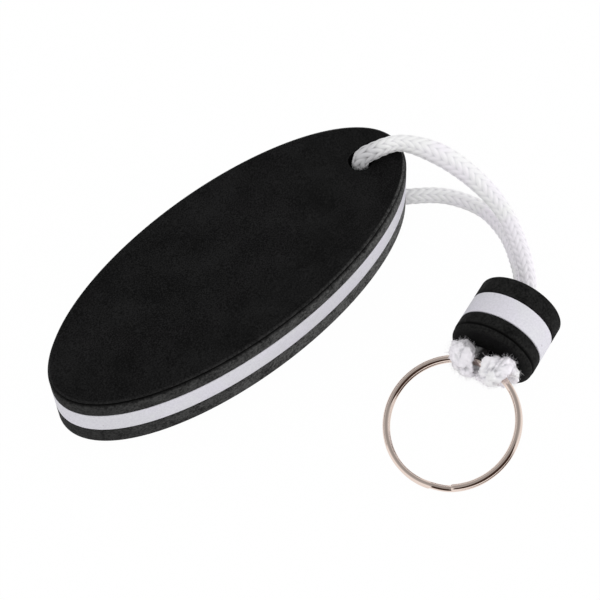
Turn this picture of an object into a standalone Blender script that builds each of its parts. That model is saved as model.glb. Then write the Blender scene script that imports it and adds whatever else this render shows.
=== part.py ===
# Floating keychain: a foam float, a small foam bead, a cord loop through both and a split ring.
# Metres, +Z up, resting on z = 0. The float's long axis runs along X, with its cord hole at +X.

import math

import bmesh
import bpy
import numpy as np
from mathutils import Matrix, Vector

# Foam sheet: three plies glued together, from which the float and the bead are both cut
OUTER_PLY = 0.00465
MIDDLE_PLY = 0.0055
GLUE_LINE = 0.0001
EDGE_ROUND = 0.0008

# Float
FLOAT_LENGTH = 0.100
FLOAT_WIDTH = 0.042
HOLE_FROM_TIP = 0.0108
HOLE_CLEARANCE = 0.0004

# Cord, and how far the hitch round the ring squeezes it
CORD_DIAMETER = 0.004
HITCH_DIAMETER = 0.0026
SOFT_GAP = 0.0003
HITCH_GAP = 0.0002

# Bead, lying on its side with its far end a little raised by the cord
BEAD_DIAMETER = 0.0195
BEAD_NEAR_X = 0.0248
BEAD_NEAR_Y = -0.0539
BEAD_TURN = math.radians(15)
BEAD_LIFT = math.radians(7)
BORE_CLEARANCE = 0.00035
BORE_TWIST = math.radians(50)

# Split ring: flat wire wound twice, with a jog where it changes from one turn to the other
RING_DIAMETER = 0.030
WIRE_WIDTH = 0.00125
WIRE_THICKNESS = 0.0009
WIRE_ROUND = 0.00022
TURN_GAP = 0.0001
RING_LEAN = math.radians(22.7)
JOG_AT = math.radians(212)
JOG_LENGTH = 0.0056
END_GAP = 0.00015

# Facets
OUTLINE_SIDES = 96
HOLE_SIDES = 32
ROUND_STEPS = 3
RING_STEPS = 72
CORD_STEP = 0.0075
CORD_BEND = math.radians(30)

# Values that follow from the driving sizes
STACK = 2 * OUTER_PLY + MIDDLE_PLY + 2 * GLUE_LINE
HOLE_RADIUS = CORD_DIAMETER / 2 + HOLE_CLEARANCE
HOLE_X = FLOAT_LENGTH / 2 - HOLE_FROM_TIP
STRAND_OFFSET = (CORD_DIAMETER + SOFT_GAP) / 2
BORE_RADIUS = STRAND_OFFSET + CORD_DIAMETER / 2 + BORE_CLEARANCE
RING_MIDDLE_RADIUS = (RING_DIAMETER - WIRE_WIDTH) / 2
RING_HALF_HEIGHT = WIRE_THICKNESS + TURN_GAP / 2

# The float lies on one strand of the cord, so its hole end is lifted by the cord
CORD_LEVER = FLOAT_LENGTH / 2 - EDGE_ROUND + HOLE_X - HOLE_RADIUS
FLOAT_PITCH = math.asin((CORD_DIAMETER + SOFT_GAP) / CORD_LEVER)
FLOAT_HEIGHT = (
    (FLOAT_LENGTH / 2 - EDGE_ROUND) * math.sin(FLOAT_PITCH)
    + EDGE_ROUND * (1 - math.cos(FLOAT_PITCH))
)


def bead_frame():
    # Origin in the middle of the near face, Z along the bore towards the far face
    corner = BEAD_DIAMETER / 2 - EDGE_ROUND
    height = corner * math.cos(BEAD_LIFT) + EDGE_ROUND * (1 - math.sin(BEAD_LIFT))
    place = Matrix.Translation((BEAD_NEAR_X, BEAD_NEAR_Y, height))
    return place @ Matrix.Rotation(BEAD_TURN, 4, "Z") @ Matrix.Rotation(math.pi / 2 - BEAD_LIFT, 4, "Y")


def ring_frame(bead):
    # The wire passes in front of the bead's near face with room for one strand between them,
    # and the far side of the ring rests on the table
    height = RING_DIAMETER / 2 * math.sin(RING_LEAN) + RING_HALF_HEIGHT * math.cos(RING_LEAN)
    hitch_arm = Matrix.Rotation(-RING_LEAN, 3, "Y") @ Vector(
        (RING_MIDDLE_RADIUS * math.cos(BEAD_TURN), RING_MIDDLE_RADIUS * math.sin(BEAD_TURN), 0)
    )
    stand_off = WIRE_WIDTH / 2 + HITCH_DIAMETER + 2 * HITCH_GAP
    drop = bead.translation.z - (height + hitch_arm.z)
    reach = (stand_off - drop * math.sin(BEAD_LIFT)) / math.cos(BEAD_LIFT)
    hitch_x = bead.translation.x - reach * math.cos(BEAD_TURN)
    hitch_y = bead.translation.y - reach * math.sin(BEAD_TURN)
    place = Matrix.Translation((hitch_x - hitch_arm.x, hitch_y - hitch_arm.y, height))
    return place @ Matrix.Rotation(-RING_LEAN, 4, "Y")


def remove_old_objects():
    for old in list(bpy.data.objects):
        bpy.data.objects.remove(old, do_unlink=True)


def make_material(name, color, roughness, metallic=0.0):
    material = bpy.data.materials.new(name)
    material.use_nodes = True
    shader = material.node_tree.nodes["Principled BSDF"]
    shader.inputs["Base Color"].default_value = (*color, 1.0)
    shader.inputs["Roughness"].default_value = roughness
    shader.inputs["Metallic"].default_value = metallic
    material.diffuse_color = (*color, 1.0)
    return material


def add_empty(name, frame, parent=None):
    empty = bpy.data.objects.new(name, None)
    bpy.context.scene.collection.objects.link(empty)
    empty.empty_display_size = 0.01
    empty.parent = parent
    empty.matrix_basis = frame
    return empty


def add_object(name, data, parent, material=None):
    piece = bpy.data.objects.new(name, data)
    bpy.context.scene.collection.objects.link(piece)
    piece.parent = parent
    if material:
        data.materials.append(material)
    return piece


def mesh_from(name, bm, smooth_angle):
    bmesh.ops.recalc_face_normals(bm, faces=bm.faces)
    mesh = bpy.data.meshes.new(name)
    bm.to_mesh(mesh)
    bm.free()
    mesh.shade_smooth()
    mesh.set_sharp_from_angle(angle=smooth_angle)
    return mesh


def make_ply(name, length, width, low, high, round_low, round_high):
    # One ply of the sheet: the cut outline pulled up to the ply's thickness, its outer rims rounded
    bm = bmesh.new()
    outline = bmesh.ops.create_circle(bm, cap_ends=True, radius=0.5, segments=OUTLINE_SIDES)["verts"]
    bmesh.ops.scale(bm, vec=(length, width, 1), verts=outline)
    bmesh.ops.translate(bm, vec=(0, 0, low), verts=outline)
    pulled = bmesh.ops.extrude_face_region(bm, geom=bm.faces[:])["geom"]
    top = [item for item in pulled if isinstance(item, bmesh.types.BMVert)]
    bmesh.ops.translate(bm, vec=(0, 0, high - low), verts=top)
    rounded = []
    for edge in bm.edges:
        heights = {round(vert.co.z, 7) for vert in edge.verts}
        if (round_low and heights == {round(low, 7)}) or (round_high and heights == {round(high, 7)}):
            rounded.append(edge)
    if rounded:
        bmesh.ops.bevel(
            bm, geom=rounded, offset=EDGE_ROUND, segments=ROUND_STEPS, profile=0.5, affect="EDGES"
        )
    return mesh_from(name, bm, math.radians(50))


def add_cutter(name, radius, parent, location):
    # A round cutter that runs past both faces of the sheet
    bm = bmesh.new()
    bmesh.ops.create_cone(
        bm, cap_ends=True, segments=HOLE_SIDES, radius1=radius, radius2=radius, depth=2 * STACK
    )
    cutter = add_object(name, mesh_from(name, bm, math.radians(50)), parent)
    cutter.location = location
    cutter.hide_render = True
    cutter.display_type = "WIRE"
    return cutter


def add_laminate(prefix, plies, length, width, parent, cutter, materials):
    # Bottom ply, middle ply and top ply, each with the hole cut through it
    middle_low = OUTER_PLY + GLUE_LINE
    middle_high = middle_low + MIDDLE_PLY
    levels = (
        (0.0, OUTER_PLY, True, False),
        (middle_low, middle_high, False, False),
        (middle_high + GLUE_LINE, STACK, False, True),
    )
    for ply, (low, high, round_low, round_high), material in zip(plies, levels, materials):
        name = f"{prefix}_{ply}"
        mesh = make_ply(name, length, width, low, high, round_low, round_high)
        piece = add_object(name, mesh, parent, material)
        cut = piece.modifiers.new("cord_hole", "BOOLEAN")
        cut.operation = "DIFFERENCE"
        cut.solver = "EXACT"
        cut.object = cutter


def wire_section():
    # Flat wire with rounded corners, seen along the wire: outward, up
    corners = []
    half_width = WIRE_WIDTH / 2 - WIRE_ROUND
    half_height = WIRE_THICKNESS / 2 - WIRE_ROUND
    for step in range(12):
        quarter, part = divmod(step, 3)
        angle = math.pi / 2 * (quarter + part / 2)
        side = 1 if quarter in (0, 3) else -1
        rise = 1 if quarter in (0, 1) else -1
        corners.append(
            (side * half_width + WIRE_ROUND * math.cos(angle), rise * half_height + WIRE_ROUND * math.sin(angle))
        )
    return corners


def make_split_ring(name):
    # The wire starts just past the jog, runs round below, jogs up and runs round above to end
    # just before the jog
    half_jog = JOG_LENGTH / 2 / RING_MIDDLE_RADIUS
    end = half_jog + END_GAP / RING_MIDDLE_RADIUS
    rise = (WIRE_THICKNESS + TURN_GAP) / 2
    turns = np.linspace(end, 4 * math.pi - end, 2 * RING_STEPS + 1)
    bm = bmesh.new()
    loops = []
    for turn in turns:
        climb = min(max((turn - 2 * math.pi + half_jog) / (2 * half_jog), 0.0), 1.0)
        height = rise * (2 * climb * climb * (3 - 2 * climb) - 1)
        spin = Matrix.Rotation(turn + JOG_AT, 4, "Z")
        loops.append(
            [bm.verts.new(spin @ Vector((RING_MIDDLE_RADIUS + out, 0, height + up))) for out, up in wire_section()]
        )
    for before, after in zip(loops, loops[1:]):
        for corner in range(len(before)):
            other = (corner + 1) % len(before)
            bm.faces.new((before[corner], before[other], after[other], after[corner]))
    bm.faces.new(loops[0])
    bm.faces.new(loops[-1])
    return mesh_from(name, bm, math.radians(60))


# Where the cord lies between the bead and the float, chosen by hand: over the float's rim
# and down into the hole, then out under the float and back along the table
UPPER_STRAND = (
    (0.0422, -0.0498, 0.0134),
    (0.0485, -0.0423, 0.0137),
    (0.0541, -0.0310, 0.0147),
    (0.0544, -0.0215, 0.0176),
    (0.0514, -0.0122, 0.0213),
    (0.0464, -0.0044, 0.0225),
    (0.0407, -0.0013, 0.0224),
    (0.0387, -0.0002, 0.0209),
)
LOWER_STRAND = (
    (0.0397, -0.0001, 0.0033),
    (0.0414, -0.0008, 0.0023),
    (0.0492, -0.0051, 0.0021),
    (0.0566, -0.0119, 0.0021),
    (0.0597, -0.0205, 0.0022),
    (0.0576, -0.0293, 0.0035),
    (0.0512, -0.0386, 0.0069),
    (0.0446, -0.0456, 0.0093),
)
# Half of the hitch, from the bore's mouth round the wire to the middle of the bight: out from
# the ring's wire towards the bead, along the wire, up from the ring's plane
HITCH_HALF = (
    (-0.0012, 0.0017, -0.0024),
    (-0.0027, 0.0026, -0.0001),
    (-0.0020, 0.0035, 0.0022),
    (-0.0002, 0.0042, 0.0028),
    (0.0014, 0.0049, 0.0014),
    (0.0008, 0.0055, -0.0044),
    (0.0001, 0.0030, -0.0067),
)
BIGHT_MIDDLE = (0.0001, 0.0, -0.0069)


def cord_route(float_place, bead, ring):
    # Each point is x, y, z and the share of the cord's diameter there
    def in_bore(side, along):
        twist = BORE_TWIST * along / STACK
        offset = Vector((side * math.sin(twist), side * math.cos(twist), 0)) * STRAND_OFFSET
        return (*(bead @ (offset + Vector((0, 0, along)))), 1.0)

    def in_hole(up):
        return (*(float_place @ Vector((HOLE_X, 0, up))), 1.0)

    hitch = ring @ Matrix.Rotation(BEAD_TURN, 4, "Z") @ Matrix.Translation((RING_MIDDLE_RADIUS, 0, 0))

    def in_hitch(point, side):
        out, along, up = point
        return (*(hitch @ Vector((out, side * along, up))), HITCH_DIAMETER / CORD_DIAMETER)

    middle = STACK / 2
    route = [in_bore(-1, middle + SOFT_GAP / 2), in_bore(-1, STACK)]
    route += [(*point, 1.0) for point in UPPER_STRAND]
    route += [in_hole(0.8 * STACK), in_hole(0.2 * STACK)]
    route += [(*point, 1.0) for point in LOWER_STRAND]
    route += [in_bore(1, STACK), in_bore(1, middle), in_bore(1, 0.0)]
    route += [in_hitch(point, 1) for point in HITCH_HALF]
    route += [in_hitch(BIGHT_MIDDLE, 1)]
    route += [in_hitch(point, -1) for point in reversed(HITCH_HALF)]
    route += [in_bore(-1, 0.0), in_bore(-1, middle - SOFT_GAP / 2)]
    return np.array(route)


def smooth_curve(route, steps=24):
    # A centripetal Catmull-Rom curve through every point of the route
    ends = np.vstack([2 * route[0] - route[1], route, 2 * route[-1] - route[-2]])
    curve = []
    for a, b, c, d in zip(ends, ends[1:], ends[2:], ends[3:]):
        knots = np.cumsum([0.0] + [math.sqrt(np.linalg.norm((q - p)[:3])) for p, q in ((a, b), (b, c), (c, d))])
        for t in np.linspace(knots[1], knots[2], steps, endpoint=False):
            ab = a + (b - a) * (t - knots[0]) / (knots[1] - knots[0])
            bc = b + (c - b) * (t - knots[1]) / (knots[2] - knots[1])
            cd = c + (d - c) * (t - knots[2]) / (knots[3] - knots[2])
            abc = ab + (bc - ab) * (t - knots[0]) / (knots[2] - knots[0])
            bcd = bc + (cd - bc) * (t - knots[1]) / (knots[3] - knots[1])
            curve.append(abc + (bcd - abc) * (t - knots[1]) / (knots[2] - knots[1]))
    curve.append(route[-1])
    return np.array(curve)


def spaced(curve):
    # Points close together in the bends and further apart on the long arcs
    steps = np.diff(curve[:, :3], axis=0)
    lengths = np.linalg.norm(steps, axis=1)
    ways = steps / lengths[:, None]
    bends = np.arccos(np.clip((ways[1:] * ways[:-1]).sum(axis=1), -1, 1))
    cost = lengths / CORD_STEP + np.concatenate([[0], bends / CORD_BEND])
    reached = np.concatenate([[0], np.cumsum(cost)])
    marks = np.linspace(0, reached[-1], math.ceil(reached[-1]) + 1)
    return np.column_stack([np.interp(marks, reached, curve[:, axis]) for axis in range(4)])


def add_cord(name, points, parent, material):
    curve = bpy.data.curves.new(name, "CURVE")
    curve.dimensions = "3D"
    curve.fill_mode = "FULL"
    curve.bevel_depth = CORD_DIAMETER / 2
    curve.bevel_resolution = 2
    curve.use_fill_caps = True
    spline = curve.splines.new("POLY")
    spline.points.add(len(points) - 1)
    for place, (x, y, z, share) in zip(spline.points, points):
        place.co = (x, y, z, 1)
        place.radius = share
    add_object(name, curve, parent, material)


def main():
    remove_old_objects()
    black_foam = make_material("black_foam", (0.022, 0.022, 0.023), 0.85)
    white_foam = make_material("white_foam", (0.68, 0.67, 0.73), 0.75)
    cord_white = make_material("cord_white", (0.82, 0.80, 0.83), 0.80)
    nickel = make_material("nickel", (0.62, 0.56, 0.52), 0.18, 1.0)

    float_place = Matrix.Translation((0, 0, FLOAT_HEIGHT)) @ Matrix.Rotation(-FLOAT_PITCH, 4, "Y")
    bead_place = bead_frame()
    ring_place = ring_frame(bead_place)

    # The whole keychain is moved so that the origin is below the middle of its outer box
    ring_side = ring_place.translation.y - RING_DIAMETER / 2
    shift = Matrix.Translation(
        (STACK * math.sin(FLOAT_PITCH) / 2, -(FLOAT_WIDTH / 2 + ring_side) / 2, 0)
    )
    keychain = add_empty("keychain", shift)
    float_empty = add_empty("float_place", float_place, keychain)
    bead_empty = add_empty("bead_place", bead_place, keychain)
    ring_empty = add_empty("ring_place", ring_place, keychain)

    foams = (black_foam, white_foam, black_foam)
    hole_cutter = add_cutter("hole_cutter", HOLE_RADIUS, float_empty, (HOLE_X, 0, STACK / 2))
    add_laminate(
        "float", ("bottom_layer", "middle_layer", "top_layer"), FLOAT_LENGTH, FLOAT_WIDTH,
        float_empty, hole_cutter, foams,
    )
    bore_cutter = add_cutter("bore_cutter", BORE_RADIUS, bead_empty, (0, 0, STACK / 2))
    add_laminate(
        "bead", ("near_layer", "middle_layer", "far_layer"), BEAD_DIAMETER, BEAD_DIAMETER,
        bead_empty, bore_cutter, foams,
    )
    add_object("split_ring", make_split_ring("split_ring"), ring_empty, nickel)
    points = spaced(smooth_curve(cord_route(float_place, bead_place, ring_place)))
    add_cord("cord", points, keychain, cord_white)


main()
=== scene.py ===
# Floating keychain: the foam float, the foam bead, the braided cord and the split ring, dressed and lit
import math

import bmesh
import bpy
import numpy as np
from mathutils import Matrix, Vector, noise


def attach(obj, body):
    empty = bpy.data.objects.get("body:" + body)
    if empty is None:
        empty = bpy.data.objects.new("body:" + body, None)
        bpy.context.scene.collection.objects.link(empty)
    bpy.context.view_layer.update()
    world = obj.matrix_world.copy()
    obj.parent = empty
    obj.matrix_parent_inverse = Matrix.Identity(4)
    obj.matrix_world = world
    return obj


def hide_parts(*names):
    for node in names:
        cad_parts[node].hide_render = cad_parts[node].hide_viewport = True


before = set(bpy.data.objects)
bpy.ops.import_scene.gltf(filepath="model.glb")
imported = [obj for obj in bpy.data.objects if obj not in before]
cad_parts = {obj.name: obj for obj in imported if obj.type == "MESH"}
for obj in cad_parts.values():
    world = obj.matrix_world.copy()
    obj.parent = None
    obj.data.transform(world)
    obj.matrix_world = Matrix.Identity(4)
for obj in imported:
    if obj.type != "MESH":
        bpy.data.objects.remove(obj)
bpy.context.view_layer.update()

print("packed model loaded:", ", ".join(sorted(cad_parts)))


# Shader maths as plain sums

class Flow:
    # one output of a material's nodes; an expression on it adds Math nodes
    def __init__(self, tree, out=None):
        self.tree = tree
        self.out = out

    def node(self, kind, settings=None, sockets=None, out=0):
        # out picks one output, or several in a tuple
        added = self.tree.nodes.new(kind)
        for name, value in (settings or {}).items():
            setattr(added, name, value)
        for name, value in (sockets or {}).items():
            if isinstance(value, Flow):
                self.tree.links.new(value.out, added.inputs[name])
            else:
                added.inputs[name].default_value = value
        if isinstance(out, tuple):
            return [Flow(self.tree, added.outputs[name]) for name in out]
        return Flow(self.tree, added.outputs[out])

    def sum(self, operation, first, second=0.0, clamp=False):
        return self.node("ShaderNodeMath", {"operation": operation, "use_clamp": clamp}, {0: first, 1: second})

    def __add__(self, other):
        return self.sum("ADD", self, other)

    def __radd__(self, other):
        return self.sum("ADD", other, self)

    def __sub__(self, other):
        return self.sum("SUBTRACT", self, other)

    def __rsub__(self, other):
        return self.sum("SUBTRACT", other, self)

    def __mul__(self, other):
        return self.sum("MULTIPLY", self, other)

    def __rmul__(self, other):
        return self.sum("MULTIPLY", other, self)

    def __pow__(self, other):
        return self.sum("POWER", self, other)

    def step(self, low, high):
        # 0 below low, 1 above high, smooth between them
        return self.node(
            "ShaderNodeMapRange",
            {"interpolation_type": "SMOOTHSTEP"},
            {"Value": self, "From Min": low, "From Max": high},
        )

    def blend(self, first, second):
        # a colour between the two, with this value as the share of the second
        return self.node("ShaderNodeMix", {"data_type": "RGBA"}, {0: self, 6: first, 7: second}, 2)

    def attribute(self, name):
        # a value that is stored on the mesh's points
        return self.node("ShaderNodeAttribute", {"attribute_name": name}, out="Fac")

    def speckle(self, size, detail=2.0, roughness=0.5):
        # grain whose lumps are about size metres across
        place = self.node("ShaderNodeTexCoord", out="Object")
        return self.node(
            "ShaderNodeTexNoise",
            {"noise_dimensions": "3D"},
            {"Vector": place, "Scale": 1 / size, "Detail": detail, "Roughness": roughness},
        )


def newMaterial(name, constants):
    # a material, the start of its nodes, and its shader, whose own sockets take the constants
    material = bpy.data.materials.new(name)
    material.use_nodes = True
    shader = material.node_tree.nodes["Principled BSDF"]
    for socket, value in constants.items():
        shader.inputs[socket].default_value = value
    return material, Flow(material.node_tree), shader


def feed(shader, socket, flow):
    flow.tree.links.new(flow.out, shader.inputs[socket])


def feedBump(shader, height, strength, distance):
    sockets = {"Strength": strength, "Distance": distance, "Height": height}
    feed(shader, "Normal", height.node("ShaderNodeBump", None, sockets))


def rgb(red, green, blue):
    return (red, green, blue, 1.0)


def grey(value):
    return rgb(value, value, value)


# Objects and meshes

def addObject(name, data):
    added = bpy.data.objects.new(name, data)
    bpy.context.scene.collection.objects.link(added)
    return added


def meshFrom(bm, name):
    mesh = bpy.data.meshes.new(name)
    bm.to_mesh(mesh)
    bm.free()
    return mesh


def skirt(bm, rings):
    # smooth faces from each ring of vertices to the next
    for before, after in zip(rings, rings[1:]):
        for at in range(len(before)):
            to = (at + 1) % len(before)
            bm.faces.new((before[at], before[to], after[to], after[at])).smooth = True


# Camera, fitted to the photograph

photoCamera = {
    "lens": 96.8,
    "sensor": 36.0,
    "place": (-0.142955, -0.145378, 0.29493),
    "heading": 46.54,  # degrees from +X towards +Y
    "down": 52.79,
    "nearest": 0.01,  # where the view starts, in metres
}


def addCamera():
    data = bpy.data.cameras.new("photoCamera")
    data.lens = photoCamera["lens"]
    data.sensor_width = photoCamera["sensor"]
    data.clip_start = photoCamera["nearest"]
    camera = addObject("photoCamera", data)
    camera.location = photoCamera["place"]
    heading, down = math.radians(photoCamera["heading"]), math.radians(photoCamera["down"])
    look = Vector((math.cos(down) * math.cos(heading), math.cos(down) * math.sin(heading), -math.sin(down)))
    camera.rotation_euler = look.to_track_quat("-Z", "Y").to_euler()
    bpy.context.scene.camera = camera


addCamera()
print("camera set")


# Where the pieces lie, as the CAD has them, in metres and degrees

ringPlace = {
    "middle": (0.008549, -0.032322, 0.006665),
    "lean": 22.7,
    "turn": 15.0,
    "wireRadius": 0.014375,  # to the middle of the CAD's wire, where the hitch sits
}
floatPlace = {"underside": (0.000375, 0.026322, 0.002461), "pitch": 2.865984}
beadPlace = {"nearFace": (0.025175, -0.027578, 0.009586), "turn": 15.0, "lift": 7.0}


def placeMatrix(middle, *turns):
    placed = Matrix.Translation(middle)
    for degrees, axis in turns:
        placed = placed @ Matrix.Rotation(math.radians(degrees), 4, axis)
    return placed


ringMatrix = placeMatrix(ringPlace["middle"], (-ringPlace["lean"], "Y"))
floatMatrix = placeMatrix(floatPlace["underside"], (-floatPlace["pitch"], "Y"))
beadMatrix = placeMatrix(beadPlace["nearFace"], (beadPlace["turn"], "Z"), (90 - beadPlace["lift"], "Y"))


def newPiece(name, mesh, material, slot, body, *nodes):
    piece = addObject(name, mesh)
    mesh.materials.append(material)
    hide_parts(*nodes)
    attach(piece, body)
    return piece


# Cord: a round braid, squeezed flat and fluffed up where it is hitched round the ring

cordLook = {
    "diameter": 0.004,
    "around": 72,  # faces round the cord
    "ringStep": 0.00023,  # metres between rings of faces
    "carriers": 8,  # yarns that wind each way
    "lay": 0.0164,  # metres in which a yarn goes once round
    "yarnHeight": 0.00019,
    "yarnWave": 0.00012,
    "sunk": 0.6,  # share of the yarns' height that lies inside the diameter
    "filaments": 5,  # fine lines along each yarn
    "white": (0.90, 0.90, 0.90),
    "lilac": (0.90, 0.87, 0.92),
    # painted shade in the grooves between the yarns
    "valley": (0.70, 0.69, 0.72),
    "spotShadeTones": ((0.09, 0.09, 0.09), (0.54, 0.54, 0.55)),  # painted shade on the yarns, low and high
    # painted shade at its darkest, near black
    "spotShadeBlack": 0.03,
    "shadedSpots": (  # where shade is painted on the cord, at the float's hole and the bead's mouth: place, reach, depth
        ((0.0386, 0.0263, 0.0186), 0.0095, 1.35),
        ((0.0246, -0.0276, 0.0100), 0.0044, 3.2),
    ),
}
hitchLook = {
    "fluff": 0.00090,  # how far the chafed yarns stand off
    "tufts": (0.0017, 0.0006, 0.35),  # coarse size, fine size, share of the fine
    "worn": 0.6,  # share of the yarns' height that the chafing takes
    "looseFrom": 0.02,  # share of fluff from which the yarns are loose
    "dip": (0.36, 0.35, 0.37),  # painted shade deep between the tufts
    "fibres": 3600,
    "fibresFrom": 0.6,  # share of fluff from which fibres grow
    "fibreLength": (0.0005, 0.0015),
    "fibreWidth": 0.000045,
    "fibreParts": 4,
    "fibreTaper": 0.15,  # share of the width lost at each part
    "fibreSpread": 0.9,
    "fibreCurl": 0.35,
}

# x, y, z, girth as a share of the diameter
cordInFloat = (
    (0.03290, -0.02752, 0.01144, 0.94),
    (0.03957, -0.02496, 0.01305, 0.84),
    (0.04232, -0.02322, 0.01340, 0.82),
    (0.04861, -0.01571, 0.01370, 0.91),
    (0.05438, -0.00458, 0.01470, 0.97),
    (0.05482, 0.00477, 0.01760, 1.14),
    (0.05178, 0.01412, 0.02130, 1.22),
    (0.04677, 0.02192, 0.02250, 0.92),
    (0.04108, 0.02490, 0.02150, 0.96),
    (0.03915, 0.02600, 0.02025, 0.95),
    (0.03893, 0.02632, 0.01641, 0.95),
    (0.03938, 0.02632, 0.00742, 0.94),
    (0.04007, 0.02622, 0.00330, 0.92),
    (0.04177, 0.02552, 0.00230, 0.92),
    (0.04958, 0.02122, 0.00210, 0.92),
    (0.05697, 0.01442, 0.00210, 0.92),
    (0.06008, 0.00582, 0.00220, 0.92),
    (0.05797, -0.00298, 0.00350, 0.92),
    (0.05158, -0.01228, 0.00690, 0.92),
    (0.04498, -0.01928, 0.00930, 0.92),
    (0.03939, -0.02234, 0.00978, 0.92),
    (0.03197, -0.02374, 0.00960, 0.92),
    (0.02462, -0.02550, 0.00959, 0.68),
)
cordToEnd = (
    (0.02573, -0.02966, 0.00959, 0.68),
    (0.03262, -0.02761, 0.01137, 0.92),
)
# Half of the hitch, from the ring's wire: out towards the bead, along the wire, up, girth,
# thickness as a share of the girth, and the way it is squeezed: out, up
hitchHalf = (
    (-0.0012, 0.0017, -0.0024, 0.62, 0.90, -0.2, -1.0),
    (-0.0027, 0.0026, -0.0001, 1.00, 0.62, -1.0, 0.0),
    (-0.0020, 0.0035, 0.0022, 1.20, 0.58, -0.7, 0.7),
    (-0.0002, 0.0042, 0.0028, 1.30, 0.56, 0.0, 1.0),
    (0.0014, 0.0049, 0.0014, 1.20, 0.56, 0.8, 0.6),
    (0.0008, 0.0055, -0.0044, 0.85, 0.70, 1.0, -0.2),
    (0.0001, 0.0030, -0.0067, 0.80, 0.80, 0.3, -1.0),
)
bightMiddle = (0.0001, 0.0, -0.0069, 0.85, 0.80, 0.2, -1.0)
hitchSides = {1: (1.04, 0.0), -1: (1.12, 0.0002)}  # each side's girth, and how far it leans to the middle


def cordStations():
    # columns: place, girth, thickness share, squeeze direction, share of the hitch's fluff
    hitch = (
        ringMatrix
        @ Matrix.Rotation(math.radians(ringPlace["turn"]), 4, "Z")
        @ Matrix.Translation((ringPlace["wireRadius"], 0, 0))
    )
    squeeze = hitch.to_3x3()

    def plain(row):
        return [*row, 1.0, 0.0, 0.0, 1.0, 0.0]

    def hitched(row, side):
        out, along, up, girth, thick, pressOut, pressUp = row
        wider, nearer = hitchSides[side]
        spot = hitch @ Vector((out, side * (along - nearer), up))
        press = squeeze @ Vector((pressOut, 0, pressUp)).normalized()
        return [*spot, girth * wider, thick / wider, *press, 1.0]

    stations = [plain(row) for row in cordInFloat]
    stations += [hitched(row, 1) for row in hitchHalf]
    stations += [hitched(bightMiddle, 1)]
    stations += [hitched(row, -1) for row in reversed(hitchHalf)]
    stations += [plain(row) for row in cordToEnd]
    return np.array(stations)


def smoothThrough(stations, steps=60):
    # a centripetal Catmull-Rom curve through every station
    rows = np.vstack([2 * stations[0] - stations[1], stations, 2 * stations[-1] - stations[-2]])
    curve = []
    for a, b, c, d in zip(rows, rows[1:], rows[2:], rows[3:]):
        gaps = [math.sqrt(np.linalg.norm((q - p)[:3])) for p, q in ((a, b), (b, c), (c, d))]
        t0, t1, t2, t3 = np.cumsum([0.0, *gaps])
        t = np.linspace(t1, t2, steps, endpoint=False)[:, None]
        ab = a + (b - a) * (t - t0) / (t1 - t0)
        bc = b + (c - b) * (t - t1) / (t2 - t1)
        cd = c + (d - c) * (t - t2) / (t3 - t2)
        abc = ab + (bc - ab) * (t - t0) / (t2 - t0)
        bcd = bc + (cd - bc) * (t - t1) / (t3 - t1)
        curve.append(abc + (bcd - abc) * (t - t1) / (t2 - t1))
    curve.append(stations[-1:])
    return np.vstack(curve)


def evenly(curve, step):
    # the curve's rows at even distances, and those distances
    reached = np.concatenate([[0], np.cumsum(np.linalg.norm(np.diff(curve[:, :3], axis=0), axis=1))])
    marks = np.linspace(0, reached[-1], math.ceil(reached[-1] / step) + 1)
    rows = np.column_stack([np.interp(marks, reached, curve[:, column]) for column in range(curve.shape[1])])
    return rows, marks


def carriedFrames(line):
    # side vectors carried along the line without twisting
    ways = np.gradient(line, axis=0)
    ways /= np.linalg.norm(ways, axis=1)[:, None]
    side = np.cross(ways[0], (0.0, 0.0, 1.0))
    sides = []
    for way in ways:
        side = side - way * (side @ way)
        side = side / np.linalg.norm(side)
        sides.append(side)
    sides = np.array(sides)
    return ways, sides, np.cross(ways, sides)


def squeezedRadius(rows, ways, out):
    # the cord's radius in each outward direction, thinner the way it is squeezed
    girth, thick, press = rows[:, 3], rows[:, 4], rows[:, 5:8]
    press = press - ways * (press * ways).sum(1)[:, None]
    press /= np.maximum(np.linalg.norm(press, axis=1), 1e-9)[:, None]
    across = np.cross(ways, press)
    half = girth[:, None] * cordLook["diameter"] / 2
    thin = (out * press[:, None, :]).sum(2) / (half * thick[:, None])
    wide = (out * across[:, None, :]).sum(2) / half
    return 1 / np.sqrt(thin**2 + wide**2)


def braidRelief(angle, along):
    # height of the yarns over the cord: two over, two under, which gives rows of Vs
    carriers = cordLook["carriers"]
    one = carriers * (angle / (2 * math.pi) + along / cordLook["lay"])
    two = carriers * (angle / (2 * math.pi) - along / cordLook["lay"])
    wave = np.sin((one + two) * math.pi / 2) * cordLook["yarnWave"]
    roundOne = 1 - (2 * (one - np.round(one))) ** 2
    roundTwo = 1 - (2 * (two - np.round(two))) ** 2
    return np.maximum(roundOne * cordLook["yarnHeight"] + wave, roundTwo * cordLook["yarnHeight"] - wave)


def fluffAt(points, size):
    return np.array([noise.fractal(Vector(p) / size, 1.1, 2.0, 2) for p in points])


# how deep the painted shade lies at each point
def spotShadeAt(points):
    spotShade = np.zeros(points.shape[:2])
    for place, reach, depth in cordLook["shadedSpots"]:
        away = np.linalg.norm(points - np.array(place), axis=-1)
        spotShade = np.maximum(spotShade, depth * np.clip(1 - away / reach, 0, 1))
    return spotShade


def store(mesh, name, values):
    # one value for each of the mesh's points, which its material reads
    stored = mesh.attributes.new(name, "FLOAT", "POINT")
    stored.data.foreach_set("value", values.astype(np.float32).ravel())


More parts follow.
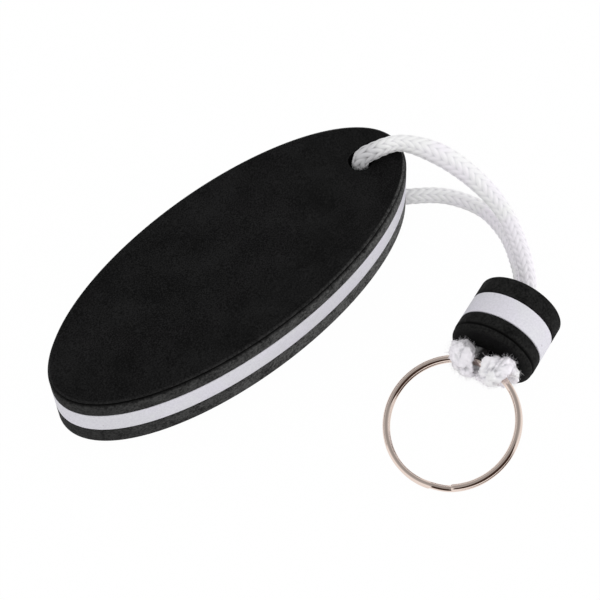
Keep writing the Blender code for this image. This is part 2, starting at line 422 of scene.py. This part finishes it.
def cordMaterial():
    constants = {"Roughness": 0.75, "Sheen Weight": 0.25, "Specular IOR Level": 0.25}
    material, flow, shader = newMaterial("braidedPolyester", constants)
    relief, yarn, spotShade = flow.attribute("relief"), flow.attribute("yarn"), flow.attribute("spotShade")
    tint = flow.speckle(0.009, 1.0).step(0.35, 0.65)
    top = tint.blend(rgb(*cordLook["lilac"]), rgb(*cordLook["white"]))
    # painted shade in the braid's grooves and deep between the hitch's tufts
    shade = relief.step(0.05, 0.70)
    clean = shade.blend(rgb(*cordLook["valley"]), top)
    clean = relief.step(-0.6, 0.1).blend(rgb(*hitchLook["dip"]), clean)
    # painted shade at the spots by the float's hole and the bead's mouth, near black where it is deepest
    low, high = cordLook["spotShadeTones"]
    spotShaded = (spotShade.step(0.0, 0.8) * 0.85).blend(clean, shade.blend(rgb(*low), rgb(*high)))
    feed(shader, "Base Color", spotShade.step(0.9, 1.8).blend(spotShaded, grey(cordLook["spotShadeBlack"])))
    grain = flow.speckle(0.00018, 3.0, 0.6)
    feedBump(shader, yarn * 0.6 + grain * 0.5, 0.35, 0.00008)
    return material


def addFibres(roots, outwards, material):
    # loose filaments that stand off the chafed hitch
    chance = np.random.default_rng(11)
    parts = hitchLook["fibreParts"]
    bm = bmesh.new()
    relief = bm.verts.layers.float.new("relief")
    for pick in chance.choice(len(roots), hitchLook["fibres"], replace=False):
        spot = Vector(roots[pick])
        way = (Vector(outwards[pick]) + hitchLook["fibreSpread"] * Vector(chance.normal(size=3))).normalized()
        reach = chance.uniform(*hitchLook["fibreLength"]) / parts
        curl = Vector(chance.normal(size=3)) * hitchLook["fibreCurl"]
        rings = []
        for part in range(parts + 1):
            half = hitchLook["fibreWidth"] / 2 * (1 - hitchLook["fibreTaper"] * part)
            side = way.orthogonal().normalized() * half
            ring = []
            for corner in range(3):
                vert = bm.verts.new(spot + Matrix.Rotation(2 * math.pi * corner / 3, 3, way) @ side)
                vert[relief] = 1.0
                ring.append(vert)
            rings.append(ring)
            spot = spot + way * reach
            way = (way + curl).normalized()
        skirt(bm, rings)
        bm.faces.new(rings[0][::-1])
        bm.faces.new(rings[-1])
    piece = addObject("hitchFibres", meshFrom(bm, "fibres"))
    piece.data.materials.append(material)
    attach(piece, "float_and_cord")
    return piece


def addCord():
    rows, along = evenly(smoothThrough(cordStations()), cordLook["ringStep"])
    line, fluffy = rows[:, :3], rows[:, 8]
    ways, sides, ups = carriedFrames(line)
    count = cordLook["around"]
    angles = np.linspace(0, 2 * math.pi, count, endpoint=False)
    out = np.cos(angles)[None, :, None] * sides[:, None, :] + np.sin(angles)[None, :, None] * ups[:, None, :]

    # the yarns, worn down in the hitch
    relief = braidRelief(angles[None, :], along[:, None])
    top = cordLook["yarnHeight"] + cordLook["yarnWave"]
    radius = squeezedRadius(rows, ways, out) - cordLook["sunk"] * top
    radius = radius + relief * (1 - hitchLook["worn"] * fluffy[:, None])
    points = line[:, None, :] + out * radius[:, :, None]

    # tufts on the hitch, with painted shade between them
    rough = fluffy[:, None] * np.ones(count)
    loose = rough > hitchLook["looseFrom"]
    coarse, fine, share = hitchLook["tufts"]
    tufts = fluffAt(points[loose], coarse) + share * fluffAt(points[loose] + 0.1, fine)
    points[loose] += out[loose] * (tufts * rough[loose] * hitchLook["fluff"])[:, None]
    relief = relief / top
    relief[loose] += tufts * rough[loose]

    rings = len(line)
    grid = np.arange(rings * count).reshape(rings, count)
    beside = np.roll(grid, -1, axis=1)
    faces = np.stack([grid[:-1], beside[:-1], beside[1:], grid[1:]], axis=-1).reshape(-1, 4).tolist()
    faces += [grid[0][::-1].tolist(), grid[-1].tolist()]
    mesh = bpy.data.meshes.new("cord")
    mesh.from_pydata(points.reshape(-1, 3).tolist(), [], faces)
    mesh.shade_smooth()
    turns = angles[None, :] / (2 * math.pi) + along[:, None] / cordLook["lay"]
    store(mesh, "relief", relief)
    store(mesh, "spotShade", spotShadeAt(points))
    store(mesh, "yarn", np.sin(2 * math.pi * cordLook["filaments"] * cordLook["carriers"] * turns))

    material = cordMaterial()
    piece = newPiece("braidedCord", mesh, material, "cord_white", "float_and_cord", "cord")
    hitched = np.flatnonzero(fluffy > hitchLook["fibresFrom"])
    fibres = addFibres(points[hitched].reshape(-1, 3), out[hitched].reshape(-1, 3), material)


addCord()
print("cord braided")


# Foam: three glued plies with a smooth skin on the two outer faces and cut sides

foamSheet = {
    "outer": 0.00465,
    "middle": 0.0055,
    "glue": 0.0001,
    "glueRound": 0.00014,  # the soft edge of a ply at the glue
    "leftRound": 0.6,  # on the side where the punch leaves: share of the skin's rounding
    "leftLip": 0.8,  # and how grey the lip is painted there, a painted highlight
    "holeGrey": 0.4,  # grey of the hole's wall
    "skin": ((0.0018, 0.0018, 0.0019), (0.0125, 0.0125, 0.0127)),
    # painted shade in the crease and down the hole's wall, and the dark of the glue joints
    "creaseBlack": 0.002,
    "white": (0.71, 0.71, 0.74),
    "lilac": (0.72, 0.70, 0.77),
    "valley": (0.63, 0.62, 0.67),
    "pit": (0.50, 0.48, 0.51),
}
floatShape = {
    "length": 0.100,
    "width": 0.042,
    "sides": 288,
    "plies": {
        "LowerPly": "float_bottom_layer",
        "MiddlePly": "float_middle_layer",
        "UpperPly": "float_top_layer",
    },
    "cutGrey": (0.015, 0.195),  # dark and light of the cut cells
    "cellSize": 0.00055,
    "paintedSideLight": {"UpperPly": (0.416, 0.257), "LowerPly": (0.57, 0.42)},  # painted light on the cut sides, darker away from the hole: share of that grey, and its rise to the hole
    "skinRound": 0.0005,
    "lip": 0.3,  # how grey the rounded lip is painted as a highlight, 0 as the skin and 1 as the cut side
    "endLift": 0.95,  # painted light: how much paler the lip is at the end with the hole
    "crease": (0.00050, 0.00095, 1.0),  # deep, high, and how dark its painted shade is
    "setBack": 0.00042,  # how far the skin lies behind the cut side
    "punched": "UpperPly",  # the ply that the punch enters, which keeps the crease
    "holeAt": 0.0392,
    "hole": 0.0027,
    "holeSides": 72,
    "mouths": {},
}
beadShape = {
    "length": 0.0195,
    "width": 0.0195,
    "sides": 160,
    "plies": {
        "NearPly": "bead_near_layer",
        "MiddlePly": "bead_middle_layer",
        "FarPly": "bead_far_layer",
    },
    # darker than the float's cut grey though cut from the same sheet: painted shade
    "cutGrey": (0.0025, 0.018),
    "cellSize": 0.00050,
    "paintedSideLight": {},
    "skinRound": 0.0012,
    # the rounded lip painted as grey as the cut side, a painted highlight
    "lip": 1.0,
    "endLift": 0.0,
    # the crease painted black as shade
    "crease": (0.00028, 0.0008, 1.0),
    "setBack": 0.00012,
    "punched": "NearPly",
    "holeAt": 0.0,
    "hole": 0.0045,
    "holeSides": 96,
    "mouths": {"NearPly": (90, 0.0017), "FarPly": (40, 0.0023)},  # the way the two cords lie, half the slot
}


def blackMaterial(name, shape):
    # smooth dark skin on the flat faces, grey cells on what the punch has cut, that grey also as a painted highlight on
    # the rounded lips and painted light on the sides, and black as painted shade in the crease
    material, flow, shader = newMaterial(name, {"Roughness": 0.85, "Specular IOR Level": 0.10})
    cutAndLit, crease = flow.attribute("cutAndLit"), flow.attribute("crease")
    grain = flow.speckle(0.0003, 4.0, 0.7)
    clouds = flow.speckle(0.009, 3.0, 0.55)
    low, high = foamSheet["skin"]
    skin = (grain * 0.8 + clouds * 0.2).step(0.41, 0.61).blend(rgb(*low), rgb(*high))
    cells = flow.speckle(shape["cellSize"], 4.0, 0.75)
    patches = flow.speckle(0.0024, 2.0, 0.5)
    dark, light = shape["cutGrey"]
    side = (cells * 0.75 + patches * 0.25).step(0.36, 0.64).blend(grey(dark), rgb(light, light, 0.98 * light))
    feed(shader, "Base Color", crease.blend(cutAndLit.blend(skin, side), grey(foamSheet["creaseBlack"])))
    carved = cutAndLit.step(0.0, 0.3)
    feedBump(shader, grain * 0.3 * (1 - carved) + cells * carved, 0.6, 0.00014)
    return material


def whiteMaterial():
    material, flow, shader = newMaterial("whiteFoam", {"Roughness": 0.8, "Specular IOR Level": 0.2})
    grain = flow.speckle(0.0004, 3.0, 0.7)
    tint = flow.speckle(0.006, 1.0).step(0.35, 0.65)
    base = tint.blend(rgb(*foamSheet["lilac"]), rgb(*foamSheet["white"]))
    base = grain.step(0.3, 0.7).blend(rgb(*foamSheet["valley"]), base)
    pits = flow.speckle(0.0011, 2.0, 0.5).step(0.70, 0.76)
    feed(shader, "Base Color", pits.blend(base, rgb(*foamSheet["pit"])))
    feedBump(shader, grain, 0.25, 0.0001)
    return material


def skinRim(shape, thickness, punched):
    # inset, depth from the skin's face, share of the cut grey (with the painted highlight on the lip) and of the
    # crease's painted shade, down to the glued face
    bend, lip, (deep, high, dark), back = shape["skinRound"], shape["lip"], shape["crease"], shape["setBack"]
    if not punched:
        bend, lip = foamSheet["leftRound"] * bend, foamSheet["leftLip"]
        deep, dark, back = 0.0, 0.0, 0.0
    rim = [(inset, 0.0, 0, 0) for inset in (0.0035, 0.0025, back + 1.15 * bend)]
    # the rounded lip, greyed as a painted highlight
    for degrees in (10, 25, 40, 55, 70, 85):
        turn = math.radians(degrees)
        inset, depth = back + bend * (1 - math.sin(turn)), bend * (1 - math.cos(turn))
        rim.append((inset, depth, lip * min(1.0, degrees / 40), 0))
    # into the crease and out again: shares of the set-back, of deep and of high, then the tones, with the crease's
    # black painted shade
    for behind, inwards, down, cutAndLitShare, creaseShare in (
        (1.0, 0.10, 0.06, lip, 0.3),
        (1.0, 0.50, 0.16, lip, 0.9),
        (1.0, 1.00, 0.30, 1, 1.0),
        (1.0, 0.90, 0.44, 1, 1.0),
        (0.9, 0.50, 0.60, 1, 1.0),
        (0.5, 0.12, 0.76, 1, 0.5),
        (0.12, 0.0, 0.92, 1, 0.1),
    ):
        rim.append((behind * back + inwards * deep, bend + down * high, cutAndLitShare, creaseShare * dark))
    return rim + glueRim(bend + 1.1 * high, thickness)


def glueRim(start, thickness):
    # the straight side from start on, and the soft edge at the glue
    soft = foamSheet["glueRound"]
    rim = [(0.0, start + (thickness - start) * share, 1, 0) for share in (0.0, 0.25, 0.5, 0.75)]
    rim += [(0.0, thickness - 2.2 * soft, 1, 0), (0.25 * soft, thickness - 0.8 * soft, 1, 0)]
    return rim + [(soft, thickness - 0.1 * soft, 1, 0.5), (0.0012, thickness, 1, 1), (0.0030, thickness, 1, 1)]


def mouthRim(thickness, dished):
    # radius past the hole's own, depth down the hole; the skin dips a little round its mouth
    dip = 1.0 if dished else 0.0
    rim = [(0.0020, 0.0), (0.0013, 0.00003 * dip), (0.0007, 0.00010 * dip), (0.0003, 0.00022 * dip)]
    rim += [(0.0001, 0.00040 * dip + 0.00004), (0.0, 0.0008), (0.0, 0.4 * thickness), (0.0, 0.7 * thickness)]
    return rim + [(0.0, thickness - 0.0001), (0.0001, thickness), (0.0020, thickness)]


def outline(shape, inset):
    points = []
    for step in range(shape["sides"]):
        turn = 2 * math.pi * step / shape["sides"]
        x, y = shape["length"] / 2 * math.cos(turn), shape["width"] / 2 * math.sin(turn)
        normal = Vector((x / shape["length"] ** 2, y / shape["width"] ** 2)).normalized()
        points.append((x - inset * normal.x, y - inset * normal.y))
    return points


def mouth(shape, name, past, opened):
    # an oval that closes on the cords at the outer face and opens to the round bore inside
    wideAt, tight = shape["mouths"].get(name, (0, shape["hole"]))
    narrow = tight + (shape["hole"] - tight) * opened
    points = []
    for step in range(shape["holeSides"]):
        turn = 2 * math.pi * step / shape["holeSides"]
        away = turn - math.radians(wideAt)
        reach = 1 / math.sqrt((math.cos(away) / shape["hole"]) ** 2 + (math.sin(away) / narrow) ** 2) + past
        points.append((shape["holeAt"] + reach * math.cos(turn), reach * math.sin(turn)))
    return points


def foamPly(shape, name, low, high, faceUp, skinned):
    # one ply, built from its outer face inwards
    thickness = high - low
    if skinned:
        side = skinRim(shape, thickness, name == shape["punched"])
    else:
        half = glueRim(thickness / 2, thickness)
        side = [(inset, thickness - depth, *tones) for inset, depth, *tones in reversed(half)] + half[1:]
    # painted light on the cut sides: their share of grey, and its rise towards the end with the hole
    cutGrey, rise = shape["paintedSideLight"].get(name, (1.0, 0.0))
    bm = bmesh.new()
    cutAndLit = bm.verts.layers.float.new("cutAndLit")
    crease = bm.verts.layers.float.new("crease")

    def ringOf(points, depth, cutAndLitShare, creaseShare):
        ring = []
        for x, y in points:
            vert = bm.verts.new((x, y, high - depth if faceUp else low + depth))
            # painted light: the lips paler, and the cut sides lighter, towards the end with the hole
            towardsHole = 2 * x / shape["length"]  # 1 at the end with the hole, -1 at the other
            paler = cutAndLitShare ** (1 - shape["endLift"] * max(0.0, towardsHole))
            vert[cutAndLit], vert[crease] = paler * (cutGrey + rise * towardsHole), creaseShare
            ring.append(vert)
        return ring

    outer = [ringOf(outline(shape, inset), depth, *tones) for inset, depth, *tones in side]
    inner = []
    for past, depth in mouthRim(thickness, skinned):
        opened = min(1.0, depth / (0.85 * thickness)) ** 0.7
        onSkin = skinned and depth < 0.0003
        # down the hole the skinned plies take the crease's black as painted shade
        shares = (0 if onSkin else foamSheet["holeGrey"], 0 if onSkin or not skinned else 1)
        inner.append(ringOf(mouth(shape, name, past, opened), depth, *shares))
    skirt(bm, outer)
    skirt(bm, inner)
    for end in (0, -1):
        edges = []
        for ring in (outer[end], inner[end]):
            edges += [bm.edges.get((ring[at], ring[(at + 1) % len(ring)])) for at in range(len(ring))]
        bmesh.ops.triangle_fill(bm, edges=edges, use_beauty=True, use_dissolve=False)
    bmesh.ops.recalc_face_normals(bm, faces=bm.faces)
    return bm


def addFoam(prefix, shape, placed, black, white):
    middleLow = foamSheet["outer"] + foamSheet["glue"]
    middleHigh = middleLow + foamSheet["middle"]
    topLow = middleHigh + foamSheet["glue"]
    stack = topLow + foamSheet["outer"]
    levels = ((0.0, foamSheet["outer"], False, True), (middleLow, middleHigh, True, False), (topLow, stack, True, True))
    for (low, high, faceUp, skinned), (name, node) in zip(levels, shape["plies"].items()):
        bm = foamPly(shape, name, low, high, faceUp, skinned)
        bm.transform(placed)
        mesh = meshFrom(bm, prefix + name)
        mesh.set_sharp_from_angle(angle=math.radians(55))
        finish, slot = (black, "black_foam") if skinned else (white, "white_foam")
        newPiece(prefix + name, mesh, finish, slot, "float_and_cord", node)


floatBlack = blackMaterial("floatBlackFoam", floatShape)
beadBlack = blackMaterial("beadBlackFoam", beadShape)
whiteFoam = whiteMaterial()
addFoam("float", floatShape, floatMatrix, floatBlack, whiteFoam)
addFoam("bead", beadShape, beadMatrix, beadBlack, whiteFoam)
print("foam float and bead built")


# Split ring: flat nickel-plated wire wound twice, with its jog

ringShape = {
    "radius": 0.014275,  # to the middle of the wire
    "wireWidth": 0.00145,
    "wireThickness": 0.0009,
    "corner": (0.00049, 0.00044),
    "cornerSteps": 6,
    "bevel": 0.6,  # 0 rounds the corners, 1 makes them straight slants
    "turnGap": 0.0001,
    "jogAt": 212.5,
    "jogLength": 0.0046,
    "endGap": 0.00015,
    "endRound": 0.00006,  # how much the section shrinks at the wire's two ends
    "stepsPerTurn": 200,
    "plate": (0.80, 0.67, 0.60),
    "roughness": (0.05, 0.06),  # of the clean plate, and what smears add
}


def wireOutline(shrink):
    wide, high = ringShape["corner"]
    bevel, steps = ringShape["bevel"], ringShape["cornerSteps"]
    points = []
    for quarter in range(4):
        side = 1 if quarter in (0, 3) else -1
        rise = 1 if quarter in (0, 1) else -1
        for part in range(steps + 1):
            share = part / steps if quarter in (0, 2) else 1 - part / steps
            outwards = bevel * (1 - share) + (1 - bevel) * math.cos(math.pi / 2 * share)
            upwards = bevel * share + (1 - bevel) * math.sin(math.pi / 2 * share)
            x = side * (ringShape["wireWidth"] / 2 - wide - shrink + wide * outwards)
            z = rise * (ringShape["wireThickness"] / 2 - high + (high - shrink) * upwards)
            points.append((x, z))
    return points


def nickelMaterial():
    constants = {"Metallic": 1.0, "Base Color": rgb(*ringShape["plate"])}
    material, flow, shader = newMaterial("nickelPlate", constants)
    smears = flow.speckle(0.0016, 3.0, 0.6)
    clean, smeared = ringShape["roughness"]
    feed(shader, "Roughness", smears.step(0.3, 0.8) * smeared + clean)
    feedBump(shader, smears, 0.06, 0.0001)
    return material


def addRing():
    half = ringShape["jogLength"] / 2 / ringShape["radius"]
    start = half + ringShape["endGap"] / ringShape["radius"]
    rise = (ringShape["wireThickness"] + ringShape["turnGap"]) / 2
    turns = np.linspace(start, 4 * math.pi - start, 2 * ringShape["stepsPerTurn"] + 1)
    bm = bmesh.new()
    rings = []
    for index, turn in enumerate(turns):
        climb = min(max((turn - 2 * math.pi + half) / (2 * half), 0.0), 1.0)
        height = rise * (2 * climb * climb * (3 - 2 * climb) - 1)
        atEnd = index in (0, len(turns) - 1)
        spin = Matrix.Rotation(math.radians(ringShape["jogAt"]) - turn, 4, "Z")
        section = wireOutline(ringShape["endRound"] if atEnd else 0.0)
        rings.append([bm.verts.new(spin @ Vector((ringShape["radius"] + x, 0, height + z))) for x, z in section])
    skirt(bm, rings)
    bm.faces.new(rings[0])
    bm.faces.new(rings[-1])
    bmesh.ops.recalc_face_normals(bm, faces=bm.faces)
    bm.transform(ringMatrix)
    mesh = meshFrom(bm, "ring")
    mesh.shade_smooth()
    mesh.set_sharp_from_angle(angle=math.radians(40))
    newPiece("splitRing", mesh, nickelMaterial(), "nickel", "ring", "split_ring")


addRing()
print("split ring wound")


# Floor and studio light

studio = {
    "floorColour": 0.92,
    "floorWhite": 0.985,  # share of the floor that shows as plain white
    "floorSize": 3.0,
    "floorLevel": -0.0001,
    "horizon": 1.10,
    "zenith": 0.38,
    "fill": 0.78,  # the even light of the tent on everything that isn't metal
    "flag": {  # the dark room that the metal mirrors, its angles in degrees
        "azimuth": -118,
        "half": 46,
        "top": 64,
        "dark": (0.050, 0.029, 0.020),
    },
    "lamps": {
        "above": {"place": (-0.35, 0.30, 0.80), "size": 0.50, "power": 0.9},
        "right": {"place": (0.65, -0.55, 0.24), "size": 0.50, "power": 2.6},
        "left": {"place": (-0.60, -0.40, 0.28), "size": 0.50, "power": 0.7},
    },
}


def seenRays(flow):
    # 1 for the camera's rays, for mirrored ones, and for those through glass
    return flow.node("ShaderNodeLightPath", out=("Is Camera Ray", "Is Glossy Ray", "Is Transmission Ray"))


def addFloor():
    bm = bmesh.new()
    bmesh.ops.create_grid(bm, x_segments=1, y_segments=1, size=studio["floorSize"])
    mesh = meshFrom(bm, "floor")
    floor = addObject("floor", mesh)
    floor.location.z = studio["floorLevel"]
    material = bpy.data.materials.new("paperFloor")
    material.use_nodes = True
    tree = material.node_tree
    tree.nodes.clear()
    flow = Flow(tree)
    camera, glossy, through = seenRays(flow)
    seen = flow.sum("ADD", camera + glossy, through, clamp=True)
    paper = flow.node("ShaderNodeBsdfDiffuse", None, {"Color": grey(studio["floorColour"])})
    white = flow.node("ShaderNodeEmission", None, {"Color": grey(1.0), "Strength": 1.0})
    mixed = flow.node("ShaderNodeMixShader", None, {0: seen * studio["floorWhite"], 1: paper, 2: white})
    end = tree.nodes.new("ShaderNodeOutputMaterial")
    tree.links.new(mixed.out, end.inputs["Surface"])
    mesh.materials.append(material)


def addWorld():
    world = bpy.data.worlds.new("studio")
    world.use_nodes = True
    bpy.context.scene.world = world
    flow = Flow(world.node_tree)
    way = flow.node("ShaderNodeTexCoord", out="Generated")
    eastwards, northwards, upwards = flow.node("ShaderNodeSeparateXYZ", None, {"Vector": way}, ("X", "Y", "Z"))
    tent = upwards.step(0.1, 1.0).blend(grey(studio["horizon"]), grey(studio["zenith"]))

    # the dark flag, with soft edges at its sides, its foot and its top
    flag = studio["flag"]
    turn, half, top = (math.radians(flag[name]) for name in ("azimuth", "half", "top"))
    level = (1.0001 - upwards * upwards) ** -0.5
    towards = (eastwards * math.cos(turn) + northwards * math.sin(turn)) * level
    shut = towards.step(math.cos(half) - 0.04, math.cos(half) + 0.06) * upwards.step(-0.02, 0.05)
    shut = shut * (1 - upwards.step(math.sin(top) - 0.05, math.sin(top) + 0.05))
    tent = shut.blend(tent, rgb(*flag["dark"]))

    # only mirrored rays meet the tent and the flag, and the others meet the even fill;
    # white for the camera, and for metal and glass low down beside the flag
    camera, glossy, through = seenRays(flow)
    tent = glossy.blend(grey(studio["fill"]), tent)
    mirrored = (glossy + through) * (1 - upwards.step(0.0, 0.3)) * (1 - shut)
    shown = flow.sum("ADD", camera, mirrored, clamp=True)
    background = world.node_tree.nodes["Background"]
    world.node_tree.links.new(shown.blend(tent, grey(1.0)).out, background.inputs["Color"])


def addLamp(name, place, size, power):
    data = bpy.data.lights.new(name, "AREA")
    data.shape = "DISK"
    data.size = size
    data.energy = power
    lamp = addObject(name, data)
    lamp.visible_glossy = False
    lamp.location = place
    lamp.rotation_euler = (-Vector(place)).to_track_quat("-Z", "Y").to_euler()


addFloor()
addWorld()
for lampName, lamp in studio["lamps"].items():
    addLamp(lampName, **lamp)
bpy.context.scene.view_settings.view_transform = "Standard"
print("floor and lamps placed")
